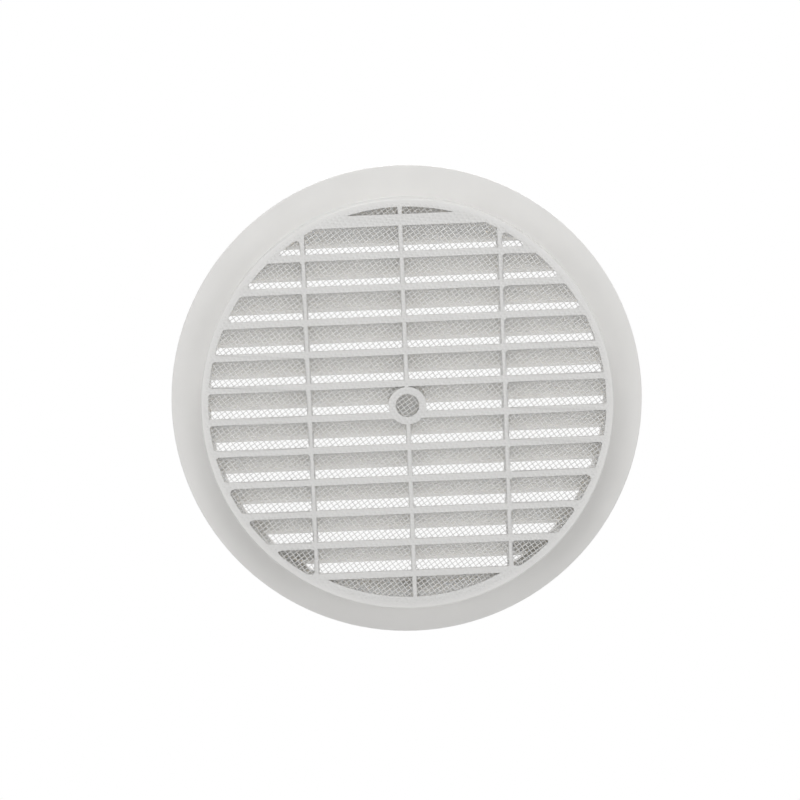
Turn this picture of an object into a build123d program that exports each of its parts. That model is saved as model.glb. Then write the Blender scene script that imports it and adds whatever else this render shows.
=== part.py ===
"""Round louvre vent grille with an insect mesh moulded into the back of its spigot.

Millimetres. The origin is on the axis, in the plane of the flange's back face, which is the wall plane.
+Z is up, the louvred front faces -Y and the spigot goes into the duct towards +Y.
"""
import os
from math import atan2, degrees, hypot

from build123d import *

# Spigot, the short collar that goes into the duct. Its wall stands round the opening that the louvres fill
spigot_diameter = 147.5
spigot_length = 13.5
spigot_wall = 2.75
spigot_end_bevel = 0.4

# Flange, the round plate that covers the edge of the wall hole
flange_width = 11.25
flange_thickness = 3.0
flange_front_radius = 2.0
opening_front_bevel = 0.5

# Rear grid, the thin bars, ribs and ring moulded over the back of the mesh
grid_thickness = 0.5
bar_height = 2.45
top_bar_height = 4.15

# Louvre blades, which fall from the mesh to a drip lip at the front
blade_count = 12
top_margin = 6.73
bottom_margin = 8.85
blade_fall = 7.0
lip_height = 1.2
lip_thickness = 1.2
lip_radius = 0.35
blade_recess = 0.2

# Closed panel above the top blade
panel_thickness = 1.6

# Foot, the slanted fill that closes the round below the lowest blade
foot_ledge = 1.5
foot_rise = 4.5
foot_depth = 5.0

# Upright ribs that carry the blades
rib_count = 3
rib_spacing = 35.0
rib_width = 1.7
rib_recess = 2.0

# Centre boss, blind from behind
boss_diameter = 13.5
boss_hole_diameter = 8.4
boss_hole_depth = 3.5

# Insect mesh, drawn as a thin wall with crossing ridges and open gaps
mesh_thickness = 0.6
mesh_wall = 0.2
mesh_grip = 1.4
mesh_clearance = 0.1
ridge_width = 0.9
gaps_per_bay = 3
gap_margin = 0.5

# Radii
spigot_r = spigot_diameter / 2
flange_r = spigot_r + flange_width
opening_r = spigot_r - spigot_wall
groove_r = opening_r + mesh_grip
seat_r = opening_r + mesh_grip / 2
mesh_r = groove_r - mesh_clearance
foot_r = opening_r - foot_ledge

# Depths along Y, from the spigot's end forward to the flange's front
end_y = spigot_length
mesh_back_y = end_y - grid_thickness
mesh_front_y = mesh_back_y - mesh_thickness
flange_front_y = -flange_thickness
nose_y = flange_front_y + blade_recess
lip_y = nose_y + lip_thickness
rib_y = nose_y + rib_recess

# Heights along Z, and places along X
blade_pitch = (2 * opening_r - top_margin - bottom_margin) / (blade_count - 1)
bar_bottoms = [opening_r - top_margin - i * blade_pitch for i in range(blade_count)]
bar_heights = [top_bar_height] + [bar_height] * (blade_count - 1)
rib_places = [(i - (rib_count - 1) / 2) * rib_spacing for i in range(rib_count)]


def cross_plane(y):
    """The plane across the axis at depth y. Its sketches have X to the right and Z up, and extrude forward."""
    return Plane.XZ.offset(-y)


def disc(radius, back_y, front_y):
    """A round plate on the axis, from its back face forward to its front face."""
    return extrude(cross_plane(back_y) * Circle(radius), amount=back_y - front_y)


def round_corner(face, corner, radius):
    """Rounds the corner of a flat face that lies at the given point."""
    return fillet(face.vertices().sort_by_distance(Vector(*corner))[0], radius)


def bevel_corner(face, corner, length):
    """Takes the corner of a flat face that lies at the given point off at a slant."""
    return chamfer(face.vertices().sort_by_distance(Vector(*corner))[0], length)


def make_shell():
    """Flange and spigot with the groove for the mesh's edge, turned about the axis from one section."""
    section = make_face(
        Polyline(
            (opening_r, flange_front_y),
            (flange_r, flange_front_y),
            (flange_r, 0),
            (spigot_r, 0),
            (spigot_r, end_y),
            (opening_r, end_y),
            (opening_r, mesh_back_y),
            (groove_r, mesh_back_y),
            (groove_r, mesh_front_y),
            (opening_r, mesh_front_y),
            close=True,
        )
    )
    section = round_corner(section, (flange_r, flange_front_y), flange_front_radius)
    section = bevel_corner(section, (opening_r, flange_front_y), opening_front_bevel)
    section = bevel_corner(section, (spigot_r, end_y), spigot_end_bevel)
    return revolve(section, Axis.Y)


def make_blade(bottom, height):
    """One louvre: a blade that falls forward from the mesh, with a lip that hangs along its front edge."""
    slope = blade_fall / (mesh_front_y - lip_y)
    top = bottom + height
    nose_top = top - slope * (mesh_front_y - nose_y)
    lip_top = bottom - blade_fall
    lip_bottom = lip_top - lip_height
    section = make_face(
        Polyline(
            (mesh_front_y, top),
            (nose_y, nose_top),
            (nose_y, lip_bottom),
            (lip_y, lip_bottom),
            (lip_y, lip_top),
            (mesh_front_y, bottom),
            close=True,
        )
    )
    for corner in ((nose_y, nose_top), (nose_y, lip_bottom), (lip_y, lip_bottom)):
        section = round_corner(section, corner, lip_radius)
    return extrude(Plane.YZ * section, amount=groove_r, both=True)


def make_rib(x):
    """One upright rib between the blades, its front edge behind their lips."""
    depth = mesh_front_y - rib_y
    return Pos(x, (mesh_front_y + rib_y) / 2, 0) * Box(rib_width, depth, 2 * groove_r)


def make_panel():
    """The closed panel above the top blade, level with the front of the lips."""
    foot = bar_bottoms[0] - blade_fall
    height = groove_r - foot
    return Pos(0, nose_y + panel_thickness / 2, foot + height / 2) * Box(2 * groove_r, panel_thickness, height)


def make_foot():
    """The fill below the lowest blade. Its slanted back rises from the ring's edge to the blade."""
    inner_r = foot_r - foot_rise
    ring = make_face(
        Polyline(
            (groove_r, mesh_front_y),
            (foot_r, mesh_front_y),
            (inner_r, mesh_front_y - foot_depth),
            (inner_r, nose_y),
            (groove_r, nose_y),
            close=True,
        )
    )
    blade_middle = bar_bottoms[-1] + bar_height / 2
    under_blade = make_face(
        Polyline(
            (mesh_front_y, blade_middle),
            (lip_y, blade_middle - blade_fall),
            (nose_y, bar_bottoms[-1] - blade_fall),
            (nose_y, -groove_r),
            (mesh_front_y, -groove_r),
            close=True,
        )
    )
    return revolve(ring, Axis.Y) & extrude(Plane.YZ * under_blade, amount=groove_r, both=True)


def make_louvres():
    """Blades, ribs, panel, foot and boss, trimmed to a round that beds into the wall of the shell."""
    louvres = make_panel() + make_foot() + disc(boss_diameter / 2, mesh_front_y, nose_y)
    for bottom, height in zip(bar_bottoms, bar_heights):
        louvres += make_blade(bottom, height)
    for x in rib_places:
        louvres += make_rib(x)
    louvres -= disc(boss_hole_diameter / 2, mesh_front_y, mesh_front_y - boss_hole_depth)
    return louvres & disc(seat_r, mesh_front_y, nose_y)


def make_windows():
    """The open windows of the rear grid as one flat outline. The round is smaller over the foot."""
    foot_height = opening_r + bar_bottoms[-1]
    opening = Circle(opening_r) - Pos(0, bar_bottoms[-1] - foot_height / 2) * Rectangle(2 * opening_r, foot_height)
    opening += Circle(foot_r)
    for bottom, height in zip(bar_bottoms, bar_heights):
        opening -= Pos(0, bottom + height / 2) * Rectangle(2 * groove_r, height)
    for x in rib_places:
        opening -= Pos(x, 0) * Rectangle(rib_width, 2 * groove_r)
    return opening - Circle(boss_diameter / 2) + Circle(boss_hole_diameter / 2)


def make_grid():
    """The thin grid of bars and ribs behind the mesh, in line with the blades and ribs in front of it."""
    return extrude(cross_plane(end_y) * (Circle(seat_r) - make_windows()), amount=grid_thickness)


def make_body():
    """The whole moulding. The mesh fills the thin space between the louvres and the rear grid."""
    return make_shell() + make_louvres() + make_grid()


def gap_places(pitch_x, reach_x):
    """Centres of the mesh's gaps: rows in the windows between bars, clear of the ribs, the boss and the edge."""
    places = []
    columns = int(opening_r / pitch_x)
    for upper, lower, height in zip(bar_bottoms, bar_bottoms[1:], bar_heights[1:]):
        z = (upper + lower + height) / 2
        for i in range(-columns, columns):
            x = (i + 0.5) * pitch_x
            inside_edge = hypot(abs(x) + reach_x, z) < opening_r
            clear_of_boss = hypot(x, z) > boss_diameter / 2 + reach_x
            if inside_edge and clear_of_boss:
                places.append((x, z))
    return places


def make_ridges(pitch_x, middle_z, lean, back_y, front_y):
    """Straight parallel ridges that run between the gaps, leaning to one side (1) or the other (-1)."""
    turn = degrees(atan2(blade_pitch, pitch_x)) * lean
    spacing = pitch_x * blade_pitch / hypot(pitch_x, blade_pitch)
    count = int(mesh_r / spacing) + 1
    ridges = Sketch()
    for i in range(-count, count):
        line = Rectangle(2 * mesh_r + spacing * count, ridge_width)
        ridges += Pos(pitch_x / 2, middle_z) * Rot(0, 0, turn) * Pos(0, (i + 0.5) * spacing) * line
    ridges &= Circle(mesh_r)
    return extrude(cross_plane(back_y) * ridges, amount=back_y - front_y)


def make_mesh():
    """The mesh: one thin wall with open gaps, ridges one way on its back and the other way on its front."""
    pitch_x = rib_spacing / gaps_per_bay
    reach = (blade_pitch - bar_height) / 2 - gap_margin
    middle_z = (bar_bottoms[0] + bar_bottoms[1] + bar_height) / 2
    wall_back_y = (mesh_back_y + mesh_front_y + mesh_wall) / 2
    wall_front_y = wall_back_y - mesh_wall
    wall = Circle(mesh_r)
    for x, z in gap_places(pitch_x, reach):
        wall -= Pos(x, z) * Rot(0, 0, 45) * Rectangle(reach * 2**0.5, reach * 2**0.5)
    mesh = extrude(cross_plane(wall_back_y) * wall, amount=mesh_wall)
    mesh += make_ridges(pitch_x, middle_z, 1, mesh_back_y, wall_back_y)
    mesh += make_ridges(pitch_x, middle_z, -1, wall_front_y, mesh_front_y)
    return mesh


os.makedirs("parts", exist_ok=True)
export_step(make_body(), "parts/grille_body.step")
export_step(make_mesh(), "parts/insect_mesh.step")
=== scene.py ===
import math

import bpy
from mathutils import Matrix, Vector


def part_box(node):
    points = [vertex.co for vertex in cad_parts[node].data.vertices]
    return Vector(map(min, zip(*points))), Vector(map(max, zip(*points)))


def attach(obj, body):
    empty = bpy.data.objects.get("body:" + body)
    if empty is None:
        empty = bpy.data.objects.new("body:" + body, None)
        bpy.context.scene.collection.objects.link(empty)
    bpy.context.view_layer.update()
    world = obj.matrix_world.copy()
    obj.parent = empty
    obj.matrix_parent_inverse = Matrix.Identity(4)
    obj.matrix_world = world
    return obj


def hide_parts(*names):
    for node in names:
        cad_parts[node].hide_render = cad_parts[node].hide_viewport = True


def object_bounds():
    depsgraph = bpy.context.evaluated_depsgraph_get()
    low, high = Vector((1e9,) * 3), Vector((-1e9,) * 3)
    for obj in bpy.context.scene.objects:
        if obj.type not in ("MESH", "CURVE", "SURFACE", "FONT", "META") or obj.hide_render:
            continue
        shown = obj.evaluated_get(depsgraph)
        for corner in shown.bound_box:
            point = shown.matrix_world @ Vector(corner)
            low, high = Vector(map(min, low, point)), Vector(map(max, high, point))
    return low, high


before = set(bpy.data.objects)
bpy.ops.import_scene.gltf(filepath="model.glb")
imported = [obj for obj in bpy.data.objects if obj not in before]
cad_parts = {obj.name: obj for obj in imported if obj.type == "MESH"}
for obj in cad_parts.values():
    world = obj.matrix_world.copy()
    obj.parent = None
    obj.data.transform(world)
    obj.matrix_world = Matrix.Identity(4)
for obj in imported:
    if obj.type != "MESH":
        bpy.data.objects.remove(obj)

cad_low, cad_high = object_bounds()

# Places read from the frame, in metres
mesh_low, mesh_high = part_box("insect_mesh")
mesh_radius = mesh_high.x
mesh_middle_y = (mesh_low.y + mesh_high.y) / 2
mesh_half_thickness = (mesh_high.y - mesh_low.y) / 2
grid_back_y = cad_high.y

# Directions of the grid: across the opening along the bars, and upright along the ribs
across = Vector((1, 0, 0))
upright = Vector((0, 0, 1))

# Distance within which points are merged, and within which two places count as the same
merge_distance = 0.000002
place_match = 0.00001

# Insect mesh: a plain weave of coated threads, fused where they cross
warp_spacing = 0.00140
weft_spacing = 0.001585
weave_turn = math.radians(33.65)
thread_radius = 0.00016
thread_crimp = mesh_half_thickness - thread_radius
thread_sides = 5
thread_merge = thread_radius / 20
weave_drift = 0.00022
weave_drift_scales = {"X": 0.014, "Z": 0.0182}

# Moulding: the round opening, the spigot, and the ribs and bars of the rear grid
opening_radius = 0.071
spigot_radius = 0.07375
rib_places = (-0.035, 0.0, 0.035)
rib_width = 0.0017
bar_count = 12
top_bar_bottom = 0.06427
first_to_last_bar = 0.12642
bar_pitch = first_to_last_bar / (bar_count - 1)
top_bar_height = 0.00415
bar_height = 0.00245
bar_bottoms = [top_bar_bottom - i * bar_pitch for i in range(bar_count)]
bar_tops = [top_bar_bottom + top_bar_height] + [bottom + bar_height for bottom in bar_bottoms[1:]]

# Slope of the sides of the ribs and bars, which are narrower at the back than at the mesh
rib_taper = 0.00025
bar_taper = 0.00015

# Rounds of the window corners at the ends of the rows: pointed tips first, then the blunter corners
tip_angle = math.radians(110)
tip_round = 0.0024
corner_angle = math.radians(45)
corner_round = 0.0006
corner_steps = 4

# Rounds at the back of the flange
flange_edge_angle = math.radians(30)
flange_edge_round = 0.0003
flange_edge_steps = 3

# Faces that meet at less than this angle shade smoothly into each other
smooth_angle = math.radians(40)

# Moulded plastic. Colours are linear, a noise pattern is its scale, detail and roughness,
# and a relief is its strength and depth
plastic_colour = (0.800, 0.793, 0.778, 1)
plastic_shade = (0.775, 0.768, 0.753, 1)
plastic_cloud = (42, 4, 0.55)
plastic_sink = (60, 1, 0.4)
plastic_grain = (3200, 2, 0.5)
plastic_roughness = (0.36, 0.46)
plastic_ior = 1.49
sink_relief = (0.10, 0.0006)
print_relief = (0.7, 0.00007)
grain_relief = (0.16, 0.00004)

# The mesh's print starts this far behind the mesh, in the back of the rear grid
imprint_depth = 0.0003

# How much light the plastic lets through: in the louvres, in the rear grid behind them,
# and the share of it that is left in the flange, outside the spigot's wall
louvre_translucency = 0.88
grid_translucency = 0.18
outer_share = 0.06
plastic_scatter = (1.0, 0.97, 0.92)
plastic_scatter_depth = 0.0050

# Coated thread, written in the same way
thread_colour = (0.800, 0.795, 0.782, 1)
thread_shade = (0.745, 0.740, 0.727, 1)
thread_cloud = (260, 3, 0.6)
thread_grain = (5200, 2, 0.5)
thread_roughness = (0.42, 0.55)
thread_ior = 1.5
thread_relief = (0.25, 0.00003)
thread_translucency = 0.2
thread_scatter = (1.0, 0.97, 0.93)
thread_scatter_depth = 0.0005

# The stretch of a noise that the two colours, and the two ends of the roughness, are spread over
colour_stretch = (0.35, 0.65)
roughness_stretch = (0.3, 0.7)

# Camera, at the photograph's viewing angle
camera_place = Vector((0.01065, 1.0018, 0.13618))
camera_target = Vector((0.00249, 0.0, 0.00031))
camera_roll = math.radians(2.32)
camera_lens = 125.9
camera_sensor = 36.0
camera_near = 0.01
camera_far = 20

# Floor, pale round the object and white further out
floor_drop = 0.36
floor_radius = 3.0
floor_sides = 96
floor_pale_radius = 0.45
floor_white_radius = 1.0
floor_colour = (0.86, 0.86, 0.86, 1)
floor_roughness = 0.9
white = (1, 1, 1, 1)

# Soft light: an even share from all round, and square lamps
ambient_level = 0.37
top_place = Vector((0.03, 0.55, 0.80))
top_size = 0.6
top_power = 4.15
side_place = Vector((0.62, 1.1, 0.10))
side_size = 0.45
side_power = 1.55
front_place = Vector((-0.3, -1.3, 0.9))
front_size = 1.2
front_power = 17.5


def deselect_all():
    bpy.ops.object.select_all(action="DESELECT")


def only(piece):
    """Makes one piece the selected and active one."""
    deselect_all()
    piece.select_set(True)
    bpy.context.view_layer.objects.active = piece


def edit_mode(select_kind):
    """Enters edit mode with nothing selected."""
    bpy.ops.object.mode_set(mode="EDIT")
    bpy.ops.mesh.select_mode(type=select_kind)
    bpy.ops.mesh.select_all(action="DESELECT")


def object_mode():
    bpy.ops.object.mode_set(mode="OBJECT")


def pick_vertices(piece, wanted):
    """Selects the vertices whose place the test wants. Ends in edit mode."""
    edit_mode("VERT")
    object_mode()
    for vertex in piece.data.vertices:
        vertex.select = wanted(vertex.co)
    bpy.ops.object.mode_set(mode="EDIT")


def pick_edges(piece, wanted, sharpness=None):
    """Selects the edges whose two ends the test wants, only the sharp ones if asked. Ends in edit mode."""
    edit_mode("EDGE")
    if sharpness is None:
        bpy.ops.mesh.select_all(action="SELECT")
    else:
        bpy.ops.mesh.edges_select_sharp(sharpness=sharpness)
    object_mode()
    mesh = piece.data
    for edge in mesh.edges:
        start, end = (mesh.vertices[index].co for index in edge.vertices)
        edge.select = edge.select and wanted(start, end)
    mesh.vertices.foreach_set("select", [False] * len(mesh.vertices))
    mesh.polygons.foreach_set("select", [False] * len(mesh.polygons))
    bpy.ops.object.mode_set(mode="EDIT")


def apply_modifiers(piece):
    only(piece)
    for modifier in list(piece.modifiers):
        bpy.ops.object.modifier_apply(modifier=modifier.name)


def apply_place(piece):
    """Puts the piece's place and turn into its mesh."""
    only(piece)
    bpy.ops.object.transform_apply(location=True, rotation=True, scale=True)


def add_array(piece, name, step, count):
    """Copies the piece along a constant step and joins the copies end to end where they meet."""
    array = piece.modifiers.new(name, "ARRAY")
    array.use_relative_offset = False
    array.use_constant_offset = True
    array.constant_offset_displace = step
    array.count = count
    array.use_merge_vertices = True
    array.merge_threshold = thread_merge


def add_drift(piece, axis, scale):
    """Lets the threads wander a little along one axis, as woven threads do."""
    cloud = bpy.data.textures.new("weave_drift_" + axis, "CLOUDS")
    cloud.noise_scale = scale
    drift = piece.modifiers.new("drift_" + axis, "DISPLACE")
    drift.texture = cloud
    drift.texture_coords = "LOCAL"
    drift.direction = axis
    drift.mid_level = 0.5
    drift.strength = weave_drift


def thread_wave(name, run, side, run_pitch, side_pitch, lift):
    """Two neighbouring threads, one weave repeat long, that pass over and under the threads they cross.

    Each is cut into four spans. Its middle is moved to one side of the mesh and its two ends to the other.
    """
    deselect_all()
    bpy.ops.mesh.primitive_cylinder_add(
        vertices=thread_sides, radius=thread_radius, depth=2 * run_pitch,
        end_fill_type="NOTHING", rotation=run.to_track_quat("Z", "Y").to_euler())
    thread = bpy.context.object
    thread.name = name
    thread.data.name = name
    apply_place(thread)
    pick_edges(thread, lambda a, b: abs((a - b).dot(run)) > run_pitch)
    bpy.ops.mesh.subdivide(number_cuts=3)
    pick_vertices(thread, lambda p: abs(p.dot(run)) < run_pitch / 4)
    bpy.ops.transform.translate(value=(0, lift, 0))
    pick_vertices(thread, lambda p: abs(p.dot(run)) > run_pitch * 3 / 4)
    bpy.ops.transform.translate(value=(0, -lift, 0))
    bpy.ops.mesh.select_all(action="SELECT")
    bpy.ops.mesh.duplicate()
    bpy.ops.transform.translate(value=run * run_pitch + side * side_pitch)
    object_mode()
    return thread


def repeats_over_mesh(pitch):
    """How many weave repeats, two threads each, reach over the mesh with some to spare."""
    return 2 * math.ceil(mesh_radius / (2 * pitch)) + 2


def thread_set(name, run, side, run_pitch, side_pitch, lift):
    """All the threads of the mesh that run one way, cut to its round and turned to its lean."""
    threads = thread_wave(name, run, side, run_pitch, side_pitch, lift)
    run_count = repeats_over_mesh(run_pitch)
    side_count = repeats_over_mesh(side_pitch)
    add_array(threads, "along", run * 2 * run_pitch, run_count)
    add_array(threads, "beside", side * 2 * side_pitch, side_count)
    apply_modifiers(threads)
    threads.location = -run * run_pitch * run_count - side * side_pitch * side_count
    apply_place(threads)
    threads.rotation_euler = (0, weave_turn, 0)
    threads.location = (0, mesh_middle_y, 0)
    apply_place(threads)
    pick_vertices(threads, lambda p: off_axis(p) > mesh_radius - weave_drift)
    bpy.ops.mesh.delete(type="VERT")
    bpy.ops.mesh.select_all(action="SELECT")
    bpy.ops.mesh.fill_holes(sides=thread_sides)
    object_mode()
    for axis, scale in weave_drift_scales.items():
        add_drift(threads, axis, scale)
    apply_modifiers(threads)
    bpy.ops.object.shade_smooth()
    return threads


def make_insect_mesh():
    """The woven mesh: warp threads one way and weft threads the other, each its own piece."""
    warp = thread_set("mesh_warp", across, upright, weft_spacing, warp_spacing, thread_crimp)
    weft = thread_set("mesh_weft", upright, across, warp_spacing, weft_spacing, -thread_crimp)
    return warp, weft


def off_axis(point):
    """Distance of a point from the vent's axis."""
    return math.hypot(point.x, point.z)


def is_window_corner(a, b):
    """Whether an edge is a corner of a rear grid window at the end of a row, from the mesh to the back."""
    straight = abs(a.x - b.x) < place_match and abs(a.z - b.z) < place_match
    in_grid = min(a.y, b.y) > mesh_high.y - place_match and max(a.y, b.y) > grid_back_y - place_match
    ends_a_row = abs(a.x) > rib_places[-1] and off_axis(a) < opening_radius + place_match
    return straight and in_grid and ends_a_row


def is_flange_edge(a, b):
    """Whether an edge lies at the foot of the spigot or round the back of the flange's rim."""
    in_wall_plane = abs(a.y) < place_match and abs(b.y) < place_match
    return in_wall_plane and min(off_axis(a), off_axis(b)) > spigot_radius - place_match


def round_edges(piece, wanted, sharpness, width, steps):
    pick_edges(piece, wanted, sharpness)
    bpy.ops.mesh.bevel(offset=width, segments=steps, affect="EDGES", clamp_overlap=False, loop_slide=False)
    object_mode()


def slope_sides(piece, direction, levels, shift):
    """Shifts the back edges of the grid's ribs or bars along a direction, at the given levels of it."""
    def wanted(p):
        on_back = p.y > grid_back_y - place_match and off_axis(p) < opening_radius - rib_taper
        return on_back and any(abs(p.dot(direction) - level) < place_match for level in levels)

    pick_vertices(piece, wanted)
    bpy.ops.transform.translate(value=direction * shift)
    object_mode()


def taper_grid(piece):
    """Narrows the backs of the rear grid's ribs and bars, so that their sides slope to the mesh."""
    slope_sides(piece, across, [x + rib_width / 2 for x in rib_places], -rib_taper)
    slope_sides(piece, across, [x - rib_width / 2 for x in rib_places], rib_taper)
    slope_sides(piece, upright, bar_tops, -bar_taper)
    slope_sides(piece, upright, bar_bottoms, bar_taper)


def copy_solid(node_name, name):
    """A copy of a solid as a piece of its own, with its loose triangles joined into one skin."""
    only(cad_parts[node_name])
    bpy.ops.object.duplicate()
    piece = bpy.context.object
    piece.name = name
    piece.data.name = name
    piece.parent = None
    for key in list(piece.keys()):
        del piece[key]
    edit_mode("VERT")
    bpy.ops.mesh.select_all(action="SELECT")
    bpy.ops.mesh.remove_doubles(threshold=merge_distance)
    bpy.ops.mesh.customdata_custom_splitnormals_clear()
    object_mode()
    return piece


def make_moulding():
    """The white moulding, with the rounds and slopes of its rear grid and the rounds of its flange."""
    moulding = copy_solid("grille_body", "grille_moulding")
    round_edges(moulding, is_window_corner, tip_angle, tip_round, corner_steps)
    round_edges(moulding, is_window_corner, corner_angle, corner_round, corner_steps)
    round_edges(moulding, is_flange_edge, flange_edge_angle, flange_edge_round, flange_edge_steps)
    taper_grid(moulding)
    bpy.ops.object.shade_smooth_by_angle(angle=smooth_angle)
    even = moulding.modifiers.new("even_shading", "WEIGHTED_NORMAL")
    even.keep_sharp = True
    apply_modifiers(moulding)
    return moulding


def new_material(name):
    """A material, its node tree and its main shader."""
    material = bpy.data.materials.new(name)
    material.use_nodes = True
    tree = material.node_tree
    return material, tree, tree.nodes["Principled BSDF"]


def place_on_piece(tree):
    return tree.nodes.new("ShaderNodeTexCoord").outputs["Object"]


def split_axes(tree, vector):
    """The X, Y and Z of a vector, by name."""
    parts = tree.nodes.new("ShaderNodeSeparateXYZ")
    tree.links.new(vector, parts.inputs["Vector"])
    return parts.outputs


def noise(tree, place, pattern):
    """A noise at a place, from its scale, detail and roughness."""
    texture = tree.nodes.new("ShaderNodeTexNoise")
    for name, value in zip(("Scale", "Detail", "Roughness"), pattern):
        texture.inputs[name].default_value = value
    tree.links.new(place, texture.inputs["Vector"])
    return texture.outputs["Fac"]


def blend_colours(tree, factor, low, high):
    """A colour between two, by a factor that is stretched about its middle."""
    ramp = tree.nodes.new("ShaderNodeValToRGB")
    for stop, position, colour in zip(ramp.color_ramp.elements, colour_stretch, (low, high)):
        stop.position = position
        stop.color = colour
    tree.links.new(factor, ramp.inputs["Fac"])
    return ramp.outputs["Color"]


def map_range(tree, value, span, to_span):
    """A value carried from one span to another, and held at its ends."""
    stretch = tree.nodes.new("ShaderNodeMapRange")
    for name, end in zip(("From Min", "From Max", "To Min", "To Max"), (*span, *to_span)):
        stretch.inputs[name].default_value = end
    tree.links.new(value, stretch.inputs["Value"])
    return stretch.outputs["Result"]


def add_bump(tree, height, relief, below=None):
    """A surface direction bent by a height, on top of another relief if there is one."""
    bump = tree.nodes.new("ShaderNodeBump")
    for name, value in zip(("Strength", "Distance"), relief):
        bump.inputs[name].default_value = value
    tree.links.new(height, bump.inputs["Height"])
    if below is not None:
        tree.links.new(below, bump.inputs["Normal"])
    return bump.outputs["Normal"]


def calculate(tree, operation, *entries):
    """One step of arithmetic on numbers and outputs of other nodes."""
    step = tree.nodes.new("ShaderNodeMath")
    step.operation = operation
    for socket, entry in zip(step.inputs, entries):
        if isinstance(entry, (int, float)):
            socket.default_value = entry
        else:
            tree.links.new(entry, socket)
    return step.outputs["Value"]


def vector_length(tree, vector):
    length = tree.nodes.new("ShaderNodeVectorMath")
    length.operation = "LENGTH"
    tree.links.new(vector, length.inputs[0])
    return length.outputs["Value"]


def distance_off_axis(tree, parts):
    """Distance from the vent's axis, from the parts of a place."""
    flat = tree.nodes.new("ShaderNodeCombineXYZ")
    for axis in ("X", "Z"):
        tree.links.new(parts[axis], flat.inputs[axis])
    return vector_length(tree, flat.outputs["Vector"])


def mesh_imprint(tree, place):
    """The faint print of the mesh in the thin bars and ring moulded over its back."""
    turned = tree.nodes.new("ShaderNodeVectorRotate")
    turned.rotation_type = "Y_AXIS"
    turned.inputs["Angle"].default_value = -weave_turn
    tree.links.new(place, turned.inputs["Vector"])
    parts = split_axes(tree, turned.outputs["Vector"])
    waves = []
    for axis, spacing in (("X", weft_spacing), ("Z", warp_spacing)):
        phase = calculate(tree, "MULTIPLY", parts[axis], 2 * math.pi / spacing)
        waves.append(calculate(tree, "COSINE", phase))
    weave = calculate(tree, "MAXIMUM", *waves)
    over_mesh = calculate(tree, "GREATER_THAN", parts["Y"], mesh_high.y + imprint_depth)
    inside = calculate(tree, "LESS_THAN", distance_off_axis(tree, parts), mesh_radius)
    shown = calculate(tree, "MULTIPLY", over_mesh, inside)
    return calculate(tree, "MULTIPLY", weave, shown)


def let_through(tree, place):
    """How much light passes the plastic: most in the louvres, less in the grid, little in the flange."""
    parts = split_axes(tree, place)
    over_wall = (opening_radius, spigot_radius)
    over_mesh = (mesh_low.y, mesh_high.y)
    in_spigot = map_range(tree, distance_off_axis(tree, parts), over_wall, (1, outer_share))
    before_grid = map_range(tree, parts["Y"], over_mesh, (louvre_translucency, grid_translucency))
    return calculate(tree, "MULTIPLY", in_spigot, before_grid)


def satin_plastic():
    """Off-white satin moulding: faint cloudiness, fine even grain, soft sink marks and the mesh's print."""
    material, tree, shader = new_material("satin_white_plastic")
    place = place_on_piece(tree)
    cloud = noise(tree, place, plastic_cloud)
    colour = blend_colours(tree, cloud, plastic_shade, plastic_colour)
    roughness = map_range(tree, cloud, roughness_stretch, plastic_roughness)
    sunk = add_bump(tree, noise(tree, place, plastic_sink), sink_relief)
    printed = add_bump(tree, mesh_imprint(tree, place), print_relief, sunk)
    grained = add_bump(tree, noise(tree, place, plastic_grain), grain_relief, printed)
    tree.links.new(colour, shader.inputs["Base Color"])
    tree.links.new(roughness, shader.inputs["Roughness"])
    tree.links.new(grained, shader.inputs["Normal"])
    tree.links.new(let_through(tree, place), shader.inputs["Subsurface Weight"])
    shader.inputs["Subsurface Radius"].default_value = plastic_scatter
    shader.inputs["Subsurface Scale"].default_value = plastic_scatter_depth
    shader.inputs["IOR"].default_value = plastic_ior
    return material


def coated_thread():
    """Pale coated mesh thread with a little unevenness along its length."""
    material, tree, shader = new_material("coated_mesh_thread")
    place = place_on_piece(tree)
    cloud = noise(tree, place, thread_cloud)
    colour = blend_colours(tree, cloud, thread_shade, thread_colour)
    roughness = map_range(tree, cloud, roughness_stretch, thread_roughness)
    grained = add_bump(tree, noise(tree, place, thread_grain), thread_relief)
    tree.links.new(colour, shader.inputs["Base Color"])
    tree.links.new(roughness, shader.inputs["Roughness"])
    tree.links.new(grained, shader.inputs["Normal"])
    shader.inputs["Subsurface Weight"].default_value = thread_translucency
    shader.inputs["Subsurface Radius"].default_value = thread_scatter
    shader.inputs["Subsurface Scale"].default_value = thread_scatter_depth
    shader.inputs["IOR"].default_value = thread_ior
    return material


def seen_straight_on(tree):
    """1 for the rays that show a background: camera, glossy and transmission."""
    path = tree.nodes.new("ShaderNodeLightPath").outputs
    seen = calculate(tree, "MAXIMUM", path["Is Camera Ray"], path["Is Glossy Ray"])
    return calculate(tree, "MAXIMUM", seen, path["Is Transmission Ray"])


def floor_finish():
    """Pale matt floor that keeps a shadow near the object and passes into white further out."""
    material, tree, shader = new_material("pale_floor")
    shader.inputs["Base Color"].default_value = floor_colour
    shader.inputs["Roughness"].default_value = floor_roughness
    distance = vector_length(tree, place_on_piece(tree))
    far = map_range(tree, distance, (floor_pale_radius, floor_white_radius), (0, 1))
    share = calculate(tree, "MULTIPLY", far, seen_straight_on(tree))
    glow = tree.nodes.new("ShaderNodeEmission")
    glow.inputs["Color"].default_value = white
    glow.inputs["Strength"].default_value = 1
    mix = tree.nodes.new("ShaderNodeMixShader")
    tree.links.new(share, mix.inputs["Fac"])
    tree.links.new(shader.outputs["BSDF"], mix.inputs[1])
    tree.links.new(glow.outputs["Emission"], mix.inputs[2])
    tree.links.new(mix.outputs["Shader"], tree.nodes["Material Output"].inputs["Surface"])
    return material


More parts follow.
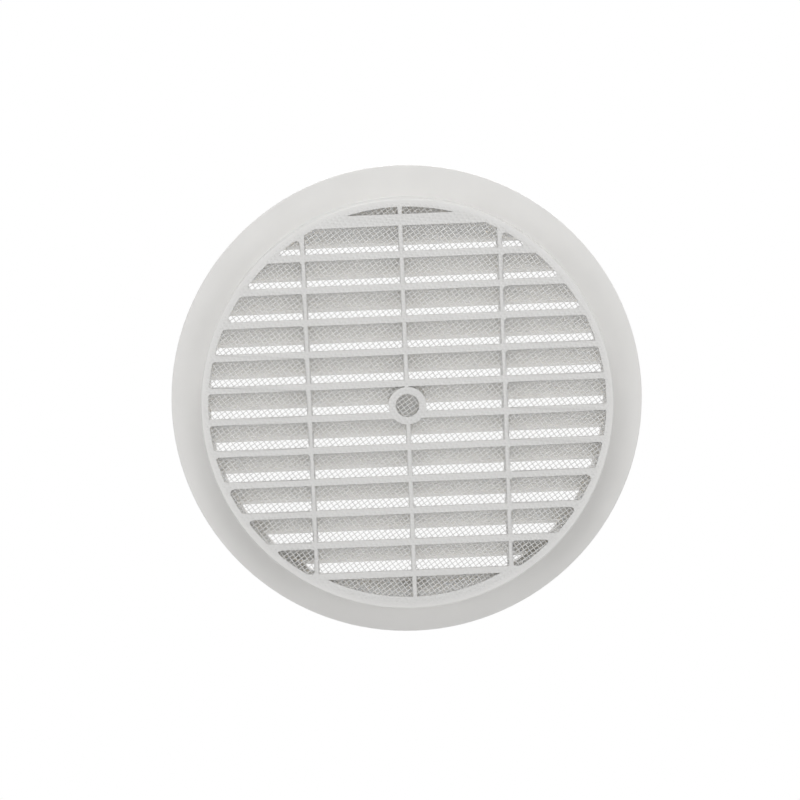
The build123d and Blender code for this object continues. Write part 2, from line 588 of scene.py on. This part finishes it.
def make_floor():
    """The round floor below the object."""
    deselect_all()
    bpy.ops.mesh.primitive_circle_add(vertices=floor_sides, radius=floor_radius, fill_type="NGON",
                                      location=(0, 0, cad_low.z - floor_drop))
    floor = bpy.context.object
    floor.name = "studio_floor"
    floor.data.materials.append(floor_finish())


def make_world():
    """White behind the object, with an even soft light from all round it."""
    world = bpy.data.worlds.new("studio")
    bpy.context.scene.world = world
    world.use_nodes = True
    tree = world.node_tree
    background = tree.nodes["Background"]
    background.inputs["Color"].default_value = white
    level = map_range(tree, seen_straight_on(tree), (0, 1), (ambient_level, 1))
    tree.links.new(level, background.inputs["Strength"])


def add_lamp(name, place, size, power):
    """A large square soft lamp that faces the object."""
    lamp = bpy.data.lights.new(name, "AREA")
    lamp.shape = "SQUARE"
    lamp.size = size
    lamp.energy = power
    holder = bpy.data.objects.new(name, lamp)
    holder.location = place
    holder.rotation_euler = place.to_track_quat("Z", "Y").to_euler()
    bpy.context.scene.collection.objects.link(holder)


def make_camera():
    """The camera, looking at its target and then rolled about its own line of sight."""
    camera = bpy.data.cameras.new("photo_camera")
    camera.lens = camera_lens
    camera.sensor_width = camera_sensor
    camera.clip_start = camera_near
    camera.clip_end = camera_far
    holder = bpy.data.objects.new("photo_camera", camera)
    back = (camera_place - camera_target).normalized()
    level = upright.cross(back).normalized()
    right = level * math.cos(camera_roll) - back.cross(level) * math.sin(camera_roll)
    turn = Matrix((right, back.cross(right), back)).transposed()
    holder.matrix_world = Matrix.Translation(camera_place) @ turn.to_4x4()
    bpy.context.scene.collection.objects.link(holder)
    bpy.context.scene.camera = holder


def paint(piece, material):
    piece.data.materials.clear()
    piece.data.materials.append(material)


moulding = make_moulding()
paint(moulding, satin_plastic())
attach(moulding, "root")
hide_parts("grille_body")

thread_finish = coated_thread()
warp, weft = make_insect_mesh()
for threads in (warp, weft):
    paint(threads, thread_finish)
    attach(threads, "root")
    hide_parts("insect_mesh")

make_floor()
make_world()
add_lamp("top_lamp", top_place, top_size, top_power)
add_lamp("left_lamp", side_place, side_size, side_power)
add_lamp("right_lamp", side_place * Vector((-1, 1, 1)), side_size, side_power)
add_lamp("front_lamp", front_place, front_size, front_power)
make_camera()
bpy.context.scene.view_settings.view_transform = "Standard"
